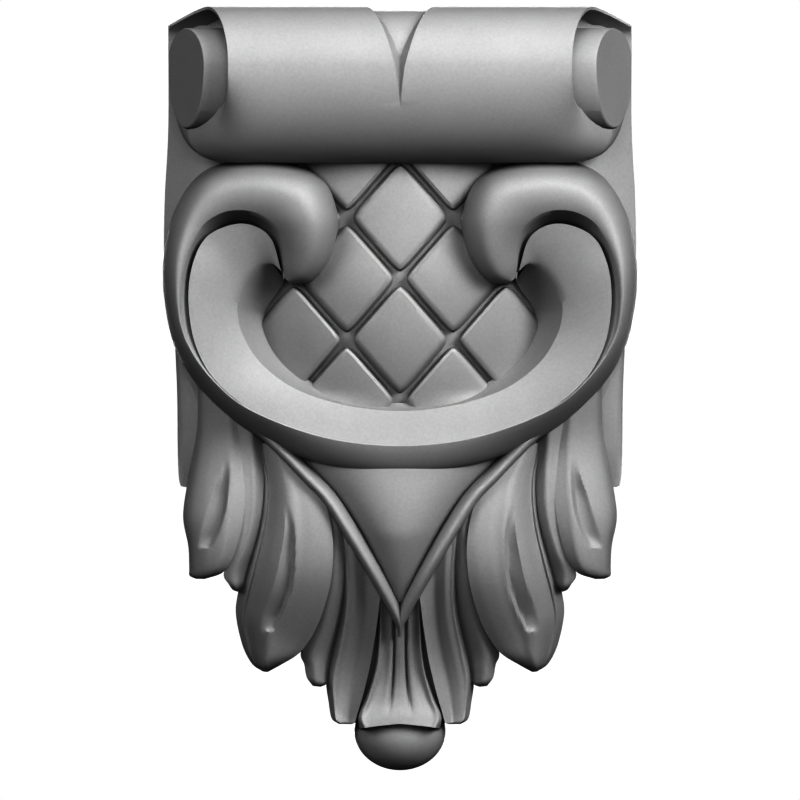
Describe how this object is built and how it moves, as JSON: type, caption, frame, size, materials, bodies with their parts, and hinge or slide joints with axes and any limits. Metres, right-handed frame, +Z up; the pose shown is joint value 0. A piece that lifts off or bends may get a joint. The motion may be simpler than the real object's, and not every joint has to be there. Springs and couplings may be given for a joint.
{
  "type": "carved corbel bracket",
  "caption": "Carved stone corbel with a top roll, a C-scroll round a lattice field, acanthus lobes and a ball foot; its flat back is fixed to a wall.",
  "frame": {"origin": "middle of the flat back face, on the centre line and at half the height", "axes": "+X to the viewer's right, +Y into the wall, +Z up; the carved front faces -Y"},
  "size_m": [0.1986, 0.125, 0.3202],
  "materials": {
    "stone": "honed, matt, neutral grey"
  },
  "bodies": {
    "root": {"carved_corbel": "stone"}
  },
  "joints": []
}
